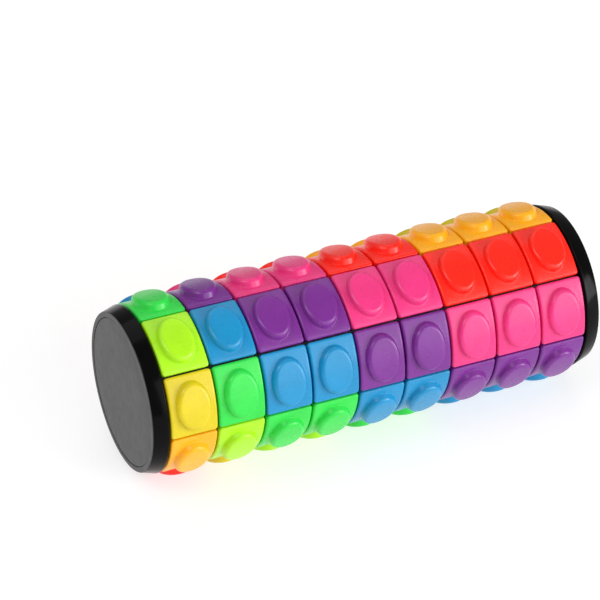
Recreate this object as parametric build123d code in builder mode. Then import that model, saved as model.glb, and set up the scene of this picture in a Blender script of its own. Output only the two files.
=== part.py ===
from build123d import *
import os
from math import atan2, cos, degrees, radians, sin, sqrt

# Rotate-and-slide tile cylinder. It lies on its side on two rows of pads.
# X runs along the cylinder from ring 1 to ring 9, +Z is up, and Z = 0 is the surface it lies on.
# All sizes are millimetres.

# Driving dimensions
RINGS = 9
COLUMNS = 8
PITCH = 13.0                 # ring to ring along the cylinder
TILE_RADIUS = 22.2           # outer face of the tiles, flush with the end caps
PAD_TOP = 23.8               # middle of a raised oval pad's top, from the axis
CAP_RADIUS = TILE_RADIUS     # end cap beside the tiles
CAP_FACE_RADIUS = 21.1       # end cap at its outer face
CAP_THICKNESS = 4.2
TILE_GAP = 0.45              # gap between neighbouring tiles, both ways
SLIDE_CLEARANCE = 0.3        # between a tile and the track it slides in
RUNNING_CLEARANCE = 0.05     # between a ring carrier and the core tube

# Tile
PLATE_THICKNESS = 3.1
CORNER_RADIUS = 0.8
EDGE_RADIUS = 0.6
PAD_LENGTH = 9.5             # along the cylinder
PAD_WIDTH = 12.8             # around the cylinder
PAD_EDGE_RADIUS = 1.3
PAD_CROWN_RADIUS = 45.0      # how gently the pad's top curves
STEM_WIDTH = 3.6
STEM_DEPTH = 2.1
FOOT_WIDTH = 8.0
FOOT_DEPTH = 1.8
FOOT_LENGTH = 12.0

# Core, end caps and fasteners
CORE_RADIUS = 11.0
CORE_WALL = 2.2
CORE_END_WALL = 6.0
CORE_GROOVE_RADIUS = 0.9
CORE_GROOVE_DEPTH = 0.5
CORE_SEAT_DEPTH = 0.8
CAP_GAP = 0.2                # between a cap and the end of the ring stack
CAP_EDGE_RADIUS = 0.4
DISC_RADIUS = 19.4
DISC_THICKNESS = 1.0
DISC_CHAMFER = 0.7
DISC_FIT = 0.1               # between the disc's edge and the cap's rim
DISC_DROP = 0.1              # how far the disc's face lies below the rim
CORE_SEAT_FIT = 0.1
SCREW_CIRCLE_RADIUS = 6.0
SCREW_COUNT = 3
SCREW_RADIUS = 1.05
SCREW_LENGTH = 6.5
SCREW_HEAD_RADIUS = 2.0
SCREW_HEAD_HEIGHT = 1.2
SCREW_HEAD_FIT = 0.1
SCREW_FIT = 0.05

# Click springs
SPRING_WIDTH = 6.4
SPRING_THICKNESS = 0.5
SPRING_LENGTH = 8.0
SPRING_RISE = 1.4
SPRING_NOSE_CLEARANCE = 0.15
SPRING_POCKET_FIT = 0.2

# Derived sizes
COLUMN_ANGLE = 360 / COLUMNS
FIRST_COLUMN = 90 - COLUMN_ANGLE / 2       # centre of column 0, from +Y towards +Z
EMPTY_COLUMN = 5                           # its ring 1 place is the empty one
STACK_END = RINGS * PITCH / 2 + CAP_GAP
FACE_END = STACK_END + CAP_THICKNESS
DISC_SEAT = FACE_END - DISC_THICKNESS - DISC_DROP
HEAD_SEAT = DISC_SEAT - SCREW_HEAD_HEIGHT
TILE_LENGTH = PITCH - TILE_GAP
PLATE_INNER_RADIUS = TILE_RADIUS - PLATE_THICKNESS
CARRIER_RADIUS = PLATE_INNER_RADIUS - SLIDE_CLEARANCE
CARRIER_LENGTH = PITCH - SLIDE_CLEARANCE
STEM_BOTTOM = PLATE_INNER_RADIUS - STEM_DEPTH
CARRIER_BORE = CORE_RADIUS + RUNNING_CLEARANCE

# The pads either side of the lowest column boundary carry the cylinder, each on its rounded edge.
pad_edge_side = PAD_WIDTH / 2 - PAD_EDGE_RADIUS
crown_centre = PAD_TOP - PAD_CROWN_RADIUS
edge_centre_reach = PAD_CROWN_RADIUS - PAD_EDGE_RADIUS
pad_edge_up = crown_centre + sqrt(edge_centre_reach ** 2 - pad_edge_side ** 2)
half_column = radians(COLUMN_ANGLE / 2)
AXIS_HEIGHT = pad_edge_side * sin(half_column) + pad_edge_up * cos(half_column) + PAD_EDGE_RADIUS


def ring_centre(ring):
    return (ring - (RINGS + 1) / 2) * PITCH


def column_angle(column):
    return FIRST_COLUMN + column * COLUMN_ANGLE


def section(x):
    """The plane across the cylinder at x, centred on its axis."""
    return Plane(origin=(x, 0, AXIS_HEIGHT), x_dir=(0, 1, 0), z_dir=(1, 0, 0))


def outward_plane(side, distance):
    """The plane across the cylinder at this distance from its middle, facing out of that end."""
    return Plane(
        origin=(side * distance, 0, AXIS_HEIGHT), x_dir=(0, 1, 0), z_dir=(side, 0, 0)
    )


def save(piece, name):
    piece.part.label = name
    export_step(piece.part, f"parts/{name}.step")


os.makedirs("parts", exist_ok=True)

# One tile, on the axis, pointing along +Y: a raised oval pad, then the curved plate, then its T foot.
with BuildPart() as pad:
    with BuildSketch(Plane(origin=(0, 0, 0), x_dir=(1, 0, 0), z_dir=(0, 1, 0))):
        Ellipse(PAD_LENGTH / 2, PAD_WIDTH / 2)
    extrude(amount=PAD_TOP * 2)
    with BuildSketch(Plane.YZ.offset(-PITCH)):
        with Locations((crown_centre, 0)):
            Circle(PAD_CROWN_RADIUS)
        Circle(TILE_RADIUS - PLATE_THICKNESS / 2, mode=Mode.SUBTRACT)
    extrude(amount=2 * PITCH, mode=Mode.INTERSECT)
    crown = pad.faces().sort_by(Axis.Y)[-1]
    fillet(crown.edges(), radius=PAD_EDGE_RADIUS)

with BuildPart() as tile:
    with BuildSketch(Plane.YZ.offset(-TILE_LENGTH / 2)):
        Circle(TILE_RADIUS)
        Circle(PLATE_INNER_RADIUS, mode=Mode.SUBTRACT)
        wedge_tip = TILE_GAP / 2 / sin(half_column)
        wedge_reach = TILE_RADIUS * 2
        with BuildLine():
            Polyline(
                (wedge_tip, 0),
                (wedge_tip + wedge_reach * cos(half_column), wedge_reach * sin(half_column)),
                (wedge_tip + wedge_reach * cos(half_column), -wedge_reach * sin(half_column)),
                close=True,
            )
        make_face(mode=Mode.INTERSECT)
    extrude(amount=TILE_LENGTH)
    corner_edges = tile.edges().filter_by(GeomType.LINE).filter_by(Axis.X, reverse=True)
    fillet(corner_edges, radius=CORNER_RADIUS)
    outer_face = tile.faces().sort_by(Axis.Y)[-1]
    fillet(outer_face.edges(), radius=EDGE_RADIUS)
    add(pad.part)
    with BuildSketch(Plane.YZ.offset(-FOOT_LENGTH / 2)):
        with Locations(((STEM_BOTTOM + PLATE_INNER_RADIUS) / 2 + EDGE_RADIUS / 2, 0)):
            Rectangle(STEM_DEPTH + EDGE_RADIUS, STEM_WIDTH)
        with Locations((STEM_BOTTOM - FOOT_DEPTH / 2, 0)):
            Rectangle(FOOT_DEPTH, FOOT_WIDTH)
    extrude(amount=FOOT_LENGTH)


def tile_places(ring, columns):
    """Where a tile goes for each of these columns of one ring."""
    return [
        Location((ring_centre(ring), 0, AXIS_HEIGHT), (column_angle(column), 0, 0))
        for column in columns
    ]


# Core tube, with closed ends that take the cap screws and eight click grooves along it.
core_half = STACK_END + CORE_SEAT_DEPTH
with BuildPart() as core_tube:
    with BuildSketch(section(-core_half)):
        Circle(CORE_RADIUS)
        with PolarLocations(
            CORE_RADIUS + CORE_GROOVE_RADIUS - CORE_GROOVE_DEPTH,
            COLUMNS,
            start_angle=FIRST_COLUMN,
        ):
            Circle(CORE_GROOVE_RADIUS, mode=Mode.SUBTRACT)
    extrude(amount=2 * core_half)
    with BuildSketch(section(-core_half + CORE_END_WALL)):
        Circle(CORE_RADIUS - CORE_WALL)
    extrude(amount=2 * (core_half - CORE_END_WALL), mode=Mode.SUBTRACT)
    for side in (-1, 1):
        with BuildSketch(outward_plane(side, core_half - CORE_END_WALL)):
            with PolarLocations(SCREW_CIRCLE_RADIUS, SCREW_COUNT, start_angle=90):
                Circle(SCREW_RADIUS + SCREW_FIT)
        extrude(amount=CORE_END_WALL, mode=Mode.SUBTRACT)
save(core_tube, "core_tube")


def end_cap(side):
    """One end cap; side is -1 for the ring 1 end and +1 for the far end."""
    with BuildPart() as cap:
        with BuildSketch(outward_plane(side, STACK_END)):
            Circle(CAP_RADIUS)
        side_slope = degrees(atan2(CAP_RADIUS - CAP_FACE_RADIUS, CAP_THICKNESS))
        extrude(amount=CAP_THICKNESS, taper=side_slope)
        rim = cap.edges().filter_by(GeomType.CIRCLE)
        fillet(rim, radius=CAP_EDGE_RADIUS)
        with BuildSketch(outward_plane(side, STACK_END)):
            Circle(CORE_RADIUS + CORE_SEAT_FIT)
        extrude(amount=CORE_SEAT_DEPTH, mode=Mode.SUBTRACT)
        with BuildSketch(outward_plane(side, DISC_SEAT)):
            Circle(DISC_RADIUS + DISC_FIT)
        extrude(amount=CAP_THICKNESS, mode=Mode.SUBTRACT)
        with BuildSketch(outward_plane(side, HEAD_SEAT)):
            with PolarLocations(SCREW_CIRCLE_RADIUS, SCREW_COUNT, start_angle=90):
                Circle(SCREW_HEAD_RADIUS + SCREW_HEAD_FIT)
        extrude(amount=CAP_THICKNESS, mode=Mode.SUBTRACT)
        with BuildSketch(outward_plane(side, STACK_END)):
            with PolarLocations(SCREW_CIRCLE_RADIUS, SCREW_COUNT, start_angle=90):
                Circle(SCREW_RADIUS + SCREW_FIT)
        extrude(amount=CAP_THICKNESS, mode=Mode.SUBTRACT)
    return cap


def cover_disc(side):
    """The plain disc that hides the screws, with a bevelled edge that leaves a groove inside the rim."""
    with BuildPart() as disc:
        with BuildSketch(outward_plane(side, DISC_SEAT)):
            Circle(DISC_RADIUS)
        extrude(amount=DISC_THICKNESS)
        outer_edge = disc.faces().sort_by(Axis.X)[0 if side < 0 else -1].edges()
        chamfer(outer_edge, length=DISC_CHAMFER)
    return disc


def cap_screws(side):
    """Three pan-head screws through a cap into the core tube."""
    with BuildPart() as screws:
        with BuildSketch(outward_plane(side, HEAD_SEAT)):
            with PolarLocations(SCREW_CIRCLE_RADIUS, SCREW_COUNT, start_angle=90):
                Circle(SCREW_HEAD_RADIUS)
        extrude(amount=SCREW_HEAD_HEIGHT)
        with BuildSketch(outward_plane(side, HEAD_SEAT)):
            with PolarLocations(SCREW_CIRCLE_RADIUS, SCREW_COUNT, start_angle=90):
                Circle(SCREW_RADIUS)
        extrude(amount=-SCREW_LENGTH)
    return screws


for end_name, side in (("left", -1), ("right", 1)):
    save(end_cap(side), f"end_cap_{end_name}")
    save(cover_disc(side), f"cover_disc_{end_name}")
    save(cap_screws(side), f"cap_screws_{end_name}")


def ring_carrier(ring):
    """The ring that turns on the core tube, with eight T tracks and a pocket for its click spring."""
    start = ring_centre(ring) - CARRIER_LENGTH / 2
    track_width = FOOT_WIDTH + 2 * SLIDE_CLEARANCE
    track_depth = FOOT_DEPTH + 2 * SLIDE_CLEARANCE
    neck_width = STEM_WIDTH + 2 * SLIDE_CLEARANCE
    neck_depth = CARRIER_RADIUS - STEM_BOTTOM + SLIDE_CLEARANCE
    with BuildPart() as carrier:
        with BuildSketch(section(start)):
            Circle(CARRIER_RADIUS)
            Circle(CARRIER_BORE, mode=Mode.SUBTRACT)
            with PolarLocations(STEM_BOTTOM - FOOT_DEPTH / 2, COLUMNS, start_angle=FIRST_COLUMN):
                Rectangle(track_depth, track_width, mode=Mode.SUBTRACT)
            with PolarLocations(STEM_BOTTOM + neck_depth / 2, COLUMNS, start_angle=FIRST_COLUMN):
                Rectangle(neck_depth, neck_width, mode=Mode.SUBTRACT)
        extrude(amount=CARRIER_LENGTH)
        pocket_top = CORE_RADIUS + SPRING_NOSE_CLEARANCE + SPRING_RISE + SPRING_THICKNESS
        with BuildSketch(section(start + CARRIER_LENGTH - SPRING_LENGTH - SPRING_POCKET_FIT)):
            with PolarLocations(pocket_top / 2, 1, start_angle=FIRST_COLUMN):
                Rectangle(pocket_top, SPRING_WIDTH + 2 * SPRING_POCKET_FIT)
        extrude(amount=SPRING_LENGTH + SPRING_POCKET_FIT, mode=Mode.SUBTRACT)
    return carrier


def click_spring(ring):
    """A bowed leaf whose nose drops into the core tube's grooves, drawn here pressed clear of them."""
    angle = radians(FIRST_COLUMN)
    nose = CORE_RADIUS + SPRING_NOSE_CLEARANCE
    half_width = SPRING_WIDTH / 2
    leaf_start = Plane(
        origin=(ring_centre(ring) + CARRIER_LENGTH / 2 - SPRING_LENGTH, 0, AXIS_HEIGHT),
        x_dir=(0, cos(angle), sin(angle)),
        z_dir=(1, 0, 0),
    )
    with BuildPart() as spring:
        with BuildSketch(leaf_start):
            with BuildLine():
                inner = ThreePointArc(
                    (nose + SPRING_RISE, -half_width),
                    (nose, 0),
                    (nose + SPRING_RISE, half_width),
                )
                outer = ThreePointArc(
                    (nose + SPRING_RISE + SPRING_THICKNESS, -half_width),
                    (nose + SPRING_THICKNESS, 0),
                    (nose + SPRING_RISE + SPRING_THICKNESS, half_width),
                )
                Line(inner @ 0, outer @ 0)
                Line(inner @ 1, outer @ 1)
            make_face()
        extrude(amount=SPRING_LENGTH)
    return spring


for ring in range(1, RINGS + 1):
    save(ring_carrier(ring), f"ring_{ring}_carrier")
    save(click_spring(ring), f"ring_{ring}_click_spring")
    fixed_columns = [column for column in range(COLUMNS) if column != EMPTY_COLUMN]
    with BuildPart() as ring_tiles:
        with Locations(*tile_places(ring, fixed_columns)):
            add(tile.part)
    save(ring_tiles, f"ring_{ring}_tiles")
    if ring > 1:
        with BuildPart() as sliding_tile:
            with Locations(*tile_places(ring, [EMPTY_COLUMN])):
                add(tile.part)
        save(sliding_tile, f"ring_{ring}_sliding_tile")
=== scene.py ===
import math

import bpy
from mathutils import Matrix, Vector


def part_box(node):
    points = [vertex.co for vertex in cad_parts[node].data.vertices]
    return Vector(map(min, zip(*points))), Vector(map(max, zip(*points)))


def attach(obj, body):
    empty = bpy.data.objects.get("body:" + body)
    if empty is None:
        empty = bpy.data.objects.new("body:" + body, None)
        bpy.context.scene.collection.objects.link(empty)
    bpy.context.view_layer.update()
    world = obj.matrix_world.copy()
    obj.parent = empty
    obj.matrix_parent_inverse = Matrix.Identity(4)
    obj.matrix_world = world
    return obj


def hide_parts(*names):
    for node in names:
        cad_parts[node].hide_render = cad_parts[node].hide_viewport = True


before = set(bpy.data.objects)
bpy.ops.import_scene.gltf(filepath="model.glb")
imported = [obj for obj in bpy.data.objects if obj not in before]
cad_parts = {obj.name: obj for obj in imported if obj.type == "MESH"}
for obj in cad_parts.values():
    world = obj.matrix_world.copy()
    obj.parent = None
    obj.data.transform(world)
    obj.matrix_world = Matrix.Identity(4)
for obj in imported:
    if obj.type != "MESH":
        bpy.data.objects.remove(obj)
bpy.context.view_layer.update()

MM = 0.001
RINGS = 9
COLUMNS = 8
COLUMN_STEP = math.tau / COLUMNS
EMPTY_COLUMN = 5                 # ring 1 has no tile here, and this column slides


# ---------------------------------------------------------------- sizes, from the frame
def middle(node):
    low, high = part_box(node)
    return (low + high) / 2


def half_size(node):
    low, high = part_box(node)
    return (high - low) / 2


RING_X = {ring: middle(f"ring_{ring}_carrier").x for ring in range(1, RINGS + 1)}
PITCH = (RING_X[RINGS] - RING_X[1]) / (RINGS - 1)
AXIS = Vector((0, 0, middle("core_tube").z))
CARRIER_RADIUS = half_size("ring_1_carrier").y
CAP_RADIUS = half_size("end_cap_left").y
CAP_FACE_RADIUS = CAP_RADIUS - 1.1 * MM  # the cap's side tapers towards its face
CAP_INNER = {
    "left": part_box("end_cap_left")[1].x,
    "right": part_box("end_cap_right")[0].x,
}
CAP_THICKNESS = half_size("end_cap_left").x * 2
CORE_RADIUS = half_size("core_tube").y
DISC_RADIUS = half_size("cover_disc_left").y
DISC_THICKNESS = half_size("cover_disc_left").x * 2
DISC_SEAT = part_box("cover_disc_right")[0].x - CAP_INNER["right"]
TILE_LENGTH = half_size("ring_2_tiles").x * 2
TILE_GAP = PITCH - TILE_LENGTH
PLATE_INNER = CARRIER_RADIUS + 0.3 * MM
TILE_RADIUS = CAP_RADIUS         # the tiles are flush with the end caps
PLATE_EDGE_RADIUS = 0.6 * MM
PLATE_CORNER_RADIUS = 0.8 * MM
PAD_TOP = TILE_RADIUS + 1.6 * MM
PAD_HALF_LENGTH = 4.6 * MM
PAD_HALF_WIDTH = 6.32 * MM
PAD_CROWN_RADIUS = 45 * MM
PAD_EDGE_RADIUS = 1.2 * MM
PAD_FOOT_RADIUS = 0.15 * MM
PAD_DRAFT = 14                   # degrees that the pad's side leans
FOOT_HALF_LENGTH = 6.0 * MM      # the T foot below the plate
STEM_HALF_WIDTH = 1.8 * MM
STEM_DEPTH = 2.1 * MM
FOOT_HALF_WIDTH = 4.0 * MM
FOOT_DEPTH = 1.8 * MM


# ---------------------------------------------------------------- materials
def new_material(name):
    material = bpy.data.materials.new(name)
    material.use_nodes = True
    tree = material.node_tree
    shader = tree.nodes["Principled BSDF"]
    return material, tree, shader


def noise(tree, scale, detail=2.0, roughness=0.5):
    """A noise pattern that stays with the piece, scale in waves per metre."""
    place = tree.nodes.new("ShaderNodeTexCoord")
    pattern = tree.nodes.new("ShaderNodeTexNoise")
    pattern.inputs["Scale"].default_value = scale
    pattern.inputs["Detail"].default_value = detail
    pattern.inputs["Roughness"].default_value = roughness
    tree.links.new(place.outputs["Object"], pattern.inputs["Vector"])
    return pattern.outputs["Fac"]


def spread(tree, value, low, high, start=0.3, end=0.7):
    """Maps a pattern's start..end on to low..high."""
    node = tree.nodes.new("ShaderNodeMapRange")
    node.inputs["From Min"].default_value = start
    node.inputs["From Max"].default_value = end
    node.inputs["To Min"].default_value = low
    node.inputs["To Max"].default_value = high
    tree.links.new(value, node.inputs["Value"])
    return node.outputs["Result"]


def two_shades(tree, factor, first, second):
    """Mixes two colours by a pattern."""
    node = tree.nodes.new("ShaderNodeMix")
    node.data_type = "RGBA"
    node.inputs["A"].default_value = (*first, 1)
    node.inputs["B"].default_value = (*second, 1)
    tree.links.new(factor, node.inputs["Factor"])
    return node.outputs["Result"]


def bump(tree, shader, height, distance):
    node = tree.nodes.new("ShaderNodeBump")
    node.inputs["Strength"].default_value = 1.0
    node.inputs["Distance"].default_value = distance
    tree.links.new(height, node.inputs["Height"])
    tree.links.new(node.outputs["Normal"], shader.inputs["Normal"])


def scaled(colour, amount):
    """A colour made darker or lighter, with no channel above 1."""
    return tuple(min(1.0, channel * amount) for channel in colour)


def moulded_plastic(
    name, colour, roughness, shade=0.06, grain=900, bump_depth=0.003 * MM, refraction=1.5
):
    """Moulded plastic: a faint cloud in the colour, uneven gloss and a fine skin."""
    material, tree, shader = new_material(name)
    cloud = spread(tree, noise(tree, 140, 3), 0, 1)
    colours = two_shades(tree, cloud, scaled(colour, 1 - shade), scaled(colour, 1 + shade))
    tree.links.new(colours, shader.inputs["Base Color"])
    gloss = spread(tree, noise(tree, 420, 4, 0.6), roughness - 0.035, roughness + 0.045)
    tree.links.new(gloss, shader.inputs["Roughness"])
    bump(tree, shader, noise(tree, grain, 3, 0.55), bump_depth)
    shader.inputs["IOR"].default_value = refraction
    return material


# Linear colours of the eight tile plastics, in the order that they run round a ring.
TILE_COLOURS = {
    "orange": (0.93, 0.40, 0.004),
    "red": (0.94, 0.014, 0.004),
    "pink": (0.74, 0.033, 0.19),
    "purple": (0.165, 0.020, 0.235),
    "blue": (0.006, 0.235, 0.48),
    "green": (0.024, 0.61, 0.060),
    "lime": (0.37, 0.77, 0.008),
    "yellow": (0.64, 0.51, 0.004),
}
COLOUR_NAMES = list(TILE_COLOURS)
# Which colour each ring shows in column 0; the others follow in order.
RING_START = ["green", "purple", "pink", "pink", "red", "red", "orange", "orange", "orange"]

tile_plastic = {
    name: moulded_plastic(f"{name}_plastic", colour, 0.28, refraction=1.43)
    for name, colour in TILE_COLOURS.items()
}
cap_plastic = moulded_plastic(
    "cap_plastic",
    (0.0015, 0.0015, 0.0016),
    0.16,
    shade=0.2,
    bump_depth=0.001 * MM,
    refraction=1.17,
)
disc_plastic = moulded_plastic(
    "disc_plastic", (0.050, 0.048, 0.050), 0.5, shade=0.04, grain=1600, bump_depth=0.0015 * MM
)
carrier_plastic = moulded_plastic("carrier_plastic", (0.004, 0.004, 0.004), 0.5, shade=0.2)
core_plastic = moulded_plastic("core_plastic", (0.03, 0.03, 0.032), 0.45, shade=0.15)


def turned_steel():
    """Plated steel for screws and springs, with a fine brushed grain."""
    material, tree, shader = new_material("plated_steel")
    colours = two_shades(tree, noise(tree, 900, 4), (0.42, 0.42, 0.44), (0.62, 0.62, 0.64))
    tree.links.new(colours, shader.inputs["Base Color"])
    tree.links.new(spread(tree, noise(tree, 1500, 3), 0.24, 0.4), shader.inputs["Roughness"])
    bump(tree, shader, noise(tree, 3000, 3), 0.004 * MM)
    shader.inputs["Metallic"].default_value = 1.0
    return material


steel = turned_steel()


# ---------------------------------------------------------------- mesh helpers
def mesh_object(name, vertices, faces, material):
    mesh = bpy.data.meshes.new(name)
    mesh.from_pydata([tuple(v) for v in vertices], [], faces)
    mesh.materials.append(material)
    mesh.validate()
    mesh.shade_smooth()
    mesh.update()
    piece = bpy.data.objects.new(name, mesh)
    bpy.context.scene.collection.objects.link(piece)
    return piece


def loop_faces(first, second, count):
    """Quads between two closed loops of count vertices that start at these indices."""
    return [
        (first + i, first + (i + 1) % count, second + (i + 1) % count, second + i)
        for i in range(count)
    ]


# ---------------------------------------------------------------- tiles
SIDE_STEPS = 7                   # how finely each stretch of a tile's outline is divided
CORNER_STEPS = 5
EDGE_STEPS = 7
PAD_FOOT_STEPS = 5
CROWN_SHARES = (0.25, 0.5, 0.72, 0.9)
PLATE_SHARES = (0.35, 0.7)


def rounded_rectangle(half_x, half_t, corner):
    """A closed loop of points round a rectangle with round corners, always the same number."""
    quarter = []
    for i in range(SIDE_STEPS):
        quarter.append((half_x, (half_t - corner) * i / SIDE_STEPS))
    for i in range(CORNER_STEPS + 1):
        turn = math.pi / 2 * i / CORNER_STEPS
        quarter.append(
            (half_x - corner + corner * math.cos(turn), half_t - corner + corner * math.sin(turn))
        )
    for i in range(1, SIDE_STEPS):
        quarter.append(((half_x - corner) * (1 - i / SIDE_STEPS), half_t))
    half = [*quarter, (0.0, half_t), *((-x, t) for x, t in reversed(quarter[1:]))]
    return half + [(-x, -t) for x, t in half]


def plate_half_width(radius):
    """Half the plate's width at this radius; the gap to its neighbour stays the same."""
    return radius * math.sin(COLUMN_STEP / 2 - math.asin(TILE_GAP / 2 / radius))


def crown_height(t):
    """How high the pad's gently curved top is, this far round from its middle."""
    return PAD_TOP - PAD_CROWN_RADIUS + math.sqrt(PAD_CROWN_RADIUS**2 - t**2)


def plate_height(t, radius=TILE_RADIUS):
    """How high a face round the cylinder's axis is, this far round from the tile's middle."""
    return math.sqrt(radius**2 - t**2)


def oval(turns, half_length, half_width):
    """Points round an oval, one for each turn."""
    return [(half_length * math.cos(turn), half_width * math.sin(turn)) for turn in turns]


def pad_loops(turns):
    """The pad from near the middle of its top, over its rounded edge and down to the plate."""
    flat_length = PAD_HALF_LENGTH - PAD_EDGE_RADIUS
    flat_width = PAD_HALF_WIDTH - PAD_EDGE_RADIUS
    loops = []
    for share in CROWN_SHARES:
        points = oval(turns, flat_length * share, flat_width * share)
        loops.append([(x, t, crown_height(t)) for x, t in points])

    draft = math.radians(PAD_DRAFT)
    sweep = math.pi / 2 - draft
    edge_heights = [crown_height(t) for _, t in oval(turns, flat_length, flat_width)]
    for i in range(EDGE_STEPS + 1):
        lean = sweep * i / EDGE_STEPS
        drop = PAD_EDGE_RADIUS * (1 - math.cos(lean))
        outset = PAD_EDGE_RADIUS * (math.sin(lean) - 1)
        points = oval(turns, PAD_HALF_LENGTH + outset, PAD_HALF_WIDTH + outset)
        loops.append([(x, t, height - drop) for (x, t), height in zip(points, edge_heights)])

    rounding = PAD_EDGE_RADIUS + PAD_FOOT_RADIUS
    straight_side = PAD_TOP - TILE_RADIUS - rounding * (1 - math.sin(draft))
    foot_reach = rounding * math.cos(draft) - PAD_EDGE_RADIUS + straight_side * math.tan(draft)
    for i in range(PAD_FOOT_STEPS + 1):
        lean = draft + sweep * i / PAD_FOOT_STEPS
        lift = PAD_FOOT_RADIUS * (1 - math.sin(lean))
        outset = foot_reach - PAD_FOOT_RADIUS * math.cos(lean)
        points = oval(turns, PAD_HALF_LENGTH + outset, PAD_HALF_WIDTH + outset)
        loops.append([(x, t, plate_height(t) + lift) for x, t in points])
    return loops


def plate_loop(inset, radius):
    """The plate's outline at this radius, this far in from its sides."""
    smallest_corner = 0.25 * MM
    corner = max(PLATE_CORNER_RADIUS - inset, smallest_corner)
    points = rounded_rectangle(TILE_LENGTH / 2 - inset, plate_half_width(radius) - inset, corner)
    return [(x, t, plate_height(t, radius)) for x, t in points]


def plate_loops(pad_foot):
    """The plate from the pad's foot out to its rounded edge, down its side and in underneath."""
    loops = []
    outer_loop = plate_loop(PLATE_EDGE_RADIUS, TILE_RADIUS)
    for share in PLATE_SHARES:
        loop = []
        for start, finish in zip(pad_foot, outer_loop):
            x = start[0] + (finish[0] - start[0]) * share
            t = start[1] + (finish[1] - start[1]) * share
            loop.append((x, t, plate_height(t)))
        loops.append(loop)
    for i in range(EDGE_STEPS + 1):
        lean = math.radians(90 * i / EDGE_STEPS)
        loops.append(
            plate_loop(
                PLATE_EDGE_RADIUS * (1 - math.sin(lean)),
                TILE_RADIUS - PLATE_EDGE_RADIUS * (1 - math.cos(lean)),
            )
        )
    side_middle = TILE_RADIUS - 1.6 * MM
    bevel_rise = 0.15 * MM
    bevel_inset = 0.12 * MM
    underside_inset = 2.5 * MM
    loops.append(plate_loop(0, side_middle))
    loops.append(plate_loop(0, PLATE_INNER + bevel_rise))
    loops.append(plate_loop(bevel_inset, PLATE_INNER))
    loops.append(plate_loop(underside_inset, PLATE_INNER))
    return loops


def tile_mesh_data():
    """One tile about the origin: X along the cylinder, Z out of it, the axis at Z = 0."""
    half_width = plate_half_width(TILE_RADIUS)
    outline = rounded_rectangle(TILE_LENGTH / 2, half_width, PLATE_CORNER_RADIUS)
    turns = [math.atan2(t / half_width, x / (TILE_LENGTH / 2)) for x, t in outline]
    count = len(outline)
    loops = pad_loops(turns)
    loops.extend(plate_loops(loops[-1]))
    vertices = [point for loop in loops for point in loop]
    faces = []
    for i in range(len(loops) - 1):
        faces.extend(loop_faces((i + 1) * count, i * count, count))
    top = len(vertices)
    vertices.append((0, 0, PAD_TOP))
    faces.extend((top, i, (i + 1) % count) for i in range(count))
    bottom = len(vertices)
    last = (len(loops) - 1) * count
    vertices.append((0, 0, PLATE_INNER))
    faces.extend((bottom, last + (i + 1) % count, last + i) for i in range(count))

    # the T foot: a stem that starts inside the plate, and a wider foot below it
    stem_bottom = PLATE_INNER - STEM_DEPTH
    stem_top = PLATE_INNER + 0.2 * MM
    foot_bottom = stem_bottom - FOOT_DEPTH
    add_block(vertices, faces, FOOT_HALF_LENGTH, STEM_HALF_WIDTH, stem_bottom, stem_top)
    add_block(vertices, faces, FOOT_HALF_LENGTH, FOOT_HALF_WIDTH, foot_bottom, stem_bottom)
    return vertices, faces


def add_block(vertices, faces, half_x, half_t, low, high):
    """Adds a block with eased corners, from loops stacked upward."""
    ease = 0.15 * MM
    shoulder = ease * 0.3
    corner = 0.3 * MM
    levels = [
        (low, ease),
        (low + shoulder, shoulder),
        (low + ease, 0),
        (high - ease, 0),
        (high - shoulder, shoulder),
        (high, ease),
    ]
    first = len(vertices)
    for height, inset in levels:
        points = rounded_rectangle(half_x - inset, half_t - inset, corner)
        vertices.extend((x, t, height) for x, t in points)
    count = (len(vertices) - first) // len(levels)
    for i in range(len(levels) - 1):
        faces.extend(loop_faces(first + i * count, first + (i + 1) * count, count))
    last = first + (len(levels) - 1) * count
    faces.append(tuple(first + i for i in reversed(range(count))))
    faces.append(tuple(last + i for i in range(count)))


tile_vertices, tile_faces = tile_mesh_data()


def make_tile(ring, column):
    """One tile in its place; the tiles in the empty place's column ride on their sliders."""
    colour = COLOUR_NAMES[(COLOUR_NAMES.index(RING_START[ring - 1]) + column) % COLUMNS]
    sliding = column == EMPTY_COLUMN
    piece = mesh_object(
        f"ring_{ring}_{colour}_tile", tile_vertices, tile_faces, tile_plastic[colour]
    )
    turn = (column - 0.5) * COLUMN_STEP
    piece.data.transform(
        Matrix.Translation(AXIS + Vector((RING_X[ring], 0, 0))) @ Matrix.Rotation(turn, 4, "X")
    )
    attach(piece, f"ring_{ring}_slider" if sliding else f"ring_{ring}")
    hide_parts(f"ring_{ring}_sliding_tile" if sliding else f"ring_{ring}_tiles")


for ring in range(1, RINGS + 1):
    for column in range(COLUMNS):
        if ring > 1 or column != EMPTY_COLUMN:
            make_tile(ring, column)


# ---------------------------------------------------------------- end caps and cover discs
LATHE_STEPS = 144
EASE = 0.1 * MM                  # bevel on hidden corners, and play round the core and the discs
MIDDLE = 0.5 * MM                # radius of the small flat that closes a profile on the axis
CORE_SEAT_DEPTH = 0.8 * MM


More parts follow.
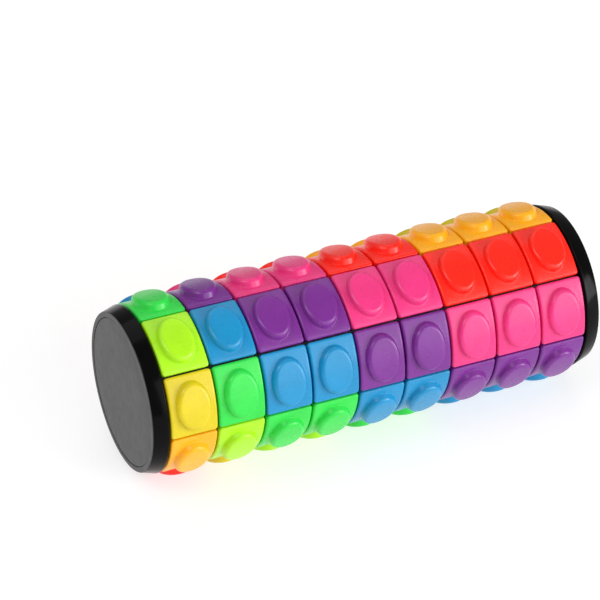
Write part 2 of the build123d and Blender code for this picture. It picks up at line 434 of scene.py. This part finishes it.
def lathe(name, profile, end, material):
    """Turns (radius, distance outward) points about the cylinder's axis, closed on the axis."""
    outward = -1 if end == "left" else 1
    vertices = []
    faces = []
    for radius, distance in profile:
        for i in range(LATHE_STEPS):
            turn = math.tau * i / LATHE_STEPS
            vertices.append(
                (
                    CAP_INNER[end] + outward * distance,
                    outward * radius * math.cos(turn),
                    AXIS.z + radius * math.sin(turn),
                )
            )
    for i in range(len(profile) - 1):
        faces.extend(loop_faces(i * LATHE_STEPS, (i + 1) * LATHE_STEPS, LATHE_STEPS))
    for index, flip in ((0, True), (len(profile) - 1, False)):
        centre = len(vertices)
        vertices.append((CAP_INNER[end] + outward * profile[index][1], 0, AXIS.z))
        for i in range(LATHE_STEPS):
            pair = (index * LATHE_STEPS + i, index * LATHE_STEPS + (i + 1) % LATHE_STEPS)
            faces.append((centre, *(reversed(pair) if flip else pair)))
    return mesh_object(name, vertices, faces, material)


def rounded_corner(radius, distance, ease, start, sweep=90, steps=4):
    """Profile points round a corner's arc centred here, angles in degrees from +radius."""
    points = []
    for i in range(steps + 1):
        turn = math.radians(start + sweep * i / steps)
        points.append((radius + ease * math.cos(turn), distance + ease * math.sin(turn)))
    return points


def cap_profile():
    """The cap: the core tube's seat, the tapered side, the face and the cover disc's socket."""
    edge = 0.4 * MM
    # the edges' arcs are moved a tenth of their radius, in at the wide end and out at the other
    slope = math.atan2(CAP_RADIUS - CAP_FACE_RADIUS, CAP_THICKNESS)
    lip = 0.12 * MM
    seat_radius = CORE_RADIUS + EASE
    socket_radius = DISC_RADIUS + EASE
    return [
        (MIDDLE, CORE_SEAT_DEPTH),
        (seat_radius - EASE, CORE_SEAT_DEPTH),
        (seat_radius, CORE_SEAT_DEPTH - EASE),
        (seat_radius, EASE),
        (seat_radius + EASE, 0),
        *rounded_corner(CAP_RADIUS - edge * 1.1, edge, edge, -90, 90 + math.degrees(slope)),
        *rounded_corner(
            CAP_FACE_RADIUS - edge * 0.9,
            CAP_THICKNESS - edge,
            edge,
            math.degrees(slope),
            90 - math.degrees(slope),
            steps=6,
        ),
        *rounded_corner(socket_radius + lip, CAP_THICKNESS - lip, lip, 90),
        (socket_radius, DISC_SEAT + EASE),
        (socket_radius - EASE, DISC_SEAT),
        (MIDDLE, DISC_SEAT),
    ]


def disc_profile():
    """The cover disc, whose rounded edge leaves the fine line round the face."""
    face = DISC_SEAT + DISC_THICKNESS
    bevel = 0.15 * MM
    return [
        (MIDDLE, DISC_SEAT),
        (DISC_RADIUS - EASE, DISC_SEAT),
        (DISC_RADIUS, DISC_SEAT + EASE),
        *rounded_corner(DISC_RADIUS - bevel, face - bevel, bevel, 0),
        (DISC_RADIUS * 0.7, face),
        (MIDDLE, face),
    ]


def satin_face(cap, end):
    """The flat face round the disc has the disc's satin finish; the side of the cap is glossy."""
    mesh = cap.data
    mesh.materials.append(disc_plastic)
    face_depth = CAP_THICKNESS - 0.15 * MM
    for polygon in mesh.polygons:
        depths = [abs(mesh.vertices[i].co.x - CAP_INNER[end]) for i in polygon.vertices]
        if min(depths) > face_depth:
            polygon.material_index = 1


for end in ("left", "right"):
    cap = lathe(f"cap_{end}", cap_profile(), end, cap_plastic)
    satin_face(cap, end)
    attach(cap, "frame")
    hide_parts(f"end_cap_{end}")
    disc = lathe(f"disc_{end}", disc_profile(), end, disc_plastic)
    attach(disc, "frame")
    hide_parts(f"cover_disc_{end}")


# ---------------------------------------------------------------- the CAD nodes that stay
def repaint(node, material):
    """Gives a CAD node a new material; its mesh stays as it is."""
    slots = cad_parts[node].data.materials
    slots.clear()
    slots.append(material)


for ring in range(1, RINGS + 1):
    repaint(f"ring_{ring}_carrier", carrier_plastic)
    repaint(f"ring_{ring}_click_spring", steel)
for end in ("left", "right"):
    repaint(f"cap_screws_{end}", steel)
repaint("core_tube", core_plastic)


# ---------------------------------------------------------------- floor, light and camera
def stage_floor():
    """A pale floor that gives off a little light of its own, so that its shade stays pale."""
    material, _, shader = new_material("floor_white")
    shader.inputs["Base Color"].default_value = (0.42, 0.42, 0.42, 1)
    shader.inputs["Roughness"].default_value = 0.7
    shader.inputs["Emission Color"].default_value = (1, 1, 1, 1)
    shader.inputs["Emission Strength"].default_value = 0.64
    reach = 6.0                      # metres, far beyond the picture
    corners = [(-reach, -reach, 0), (reach, -reach, 0), (reach, reach, 0), (-reach, reach, 0)]
    floor = mesh_object("floor", corners, [(0, 1, 2, 3)], material)


def soft_box(name, azimuth, elevation, distance, size, power):
    """A soft light that faces the cylinder; azimuth 0 is on the -Y side, 90 on the +X side."""
    light = bpy.data.lights.new(name, "AREA")
    light.shape = "RECTANGLE"
    light.size, light.size_y = size
    light.energy = power
    lamp = bpy.data.objects.new(name, light)
    bpy.context.scene.collection.objects.link(lamp)
    around, up = math.radians(azimuth), math.radians(elevation)
    away = Vector(
        (math.sin(around) * math.cos(up), -math.cos(around) * math.cos(up), math.sin(up))
    )
    lamp.location = AXIS + away * distance
    lamp.rotation_mode = "QUATERNION"
    lamp.rotation_quaternion = (-away).to_track_quat("-Z", "Y")


def surroundings():
    """Even white light from all round."""
    world = bpy.data.worlds.new("surroundings")
    world.use_nodes = True
    background = world.node_tree.nodes["Background"]
    background.inputs["Color"].default_value = (1, 1, 1, 1)
    background.inputs["Strength"].default_value = 0.36
    bpy.context.scene.world = world


def main_camera():
    """The photograph's camera, fitted to the corners of the tile grid and to the outline."""
    azimuth = math.radians(-26.394)
    elevation = math.radians(38.705)
    roll = math.radians(3.486)
    distance = 0.8632
    aim_left = 0.01218
    aim_up = 0.00935
    forward = Vector(
        (
            -math.sin(azimuth) * math.cos(elevation),
            math.cos(azimuth) * math.cos(elevation),
            -math.sin(elevation),
        )
    )
    level = forward.cross(Vector((0, 0, 1))).normalized()
    upright = level.cross(forward)
    right = level * math.cos(roll) + upright * math.sin(roll)
    up = upright * math.cos(roll) - level * math.sin(roll)
    camera_data = bpy.data.cameras.new("camera")
    camera_data.lens = 199.62
    camera_data.sensor_width = 36
    camera_data.clip_start = 0.05
    camera_data.clip_end = 50
    camera = bpy.data.objects.new("camera", camera_data)
    bpy.context.scene.collection.objects.link(camera)
    place = AXIS - right * aim_left + up * aim_up - forward * distance
    camera.matrix_world = Matrix(
        (
            (right.x, up.x, -forward.x, place.x),
            (right.y, up.y, -forward.y, place.y),
            (right.z, up.z, -forward.z, place.z),
            (0, 0, 0, 1),
        )
    )
    bpy.context.scene.camera = camera


stage_floor()
surroundings()
soft_box("front", azimuth=22, elevation=26, distance=1.0, size=(1.1, 0.9), power=6.5)
soft_box("key", azimuth=48, elevation=14, distance=1.0, size=(0.5, 0.4), power=4.5)
soft_box("left", azimuth=-80, elevation=50, distance=1.1, size=(0.7, 0.4), power=4)
soft_box("back", azimuth=180, elevation=56, distance=1.2, size=(1.2, 0.8), power=3.0)
main_camera()
bpy.context.scene.view_settings.view_transform = "Standard"
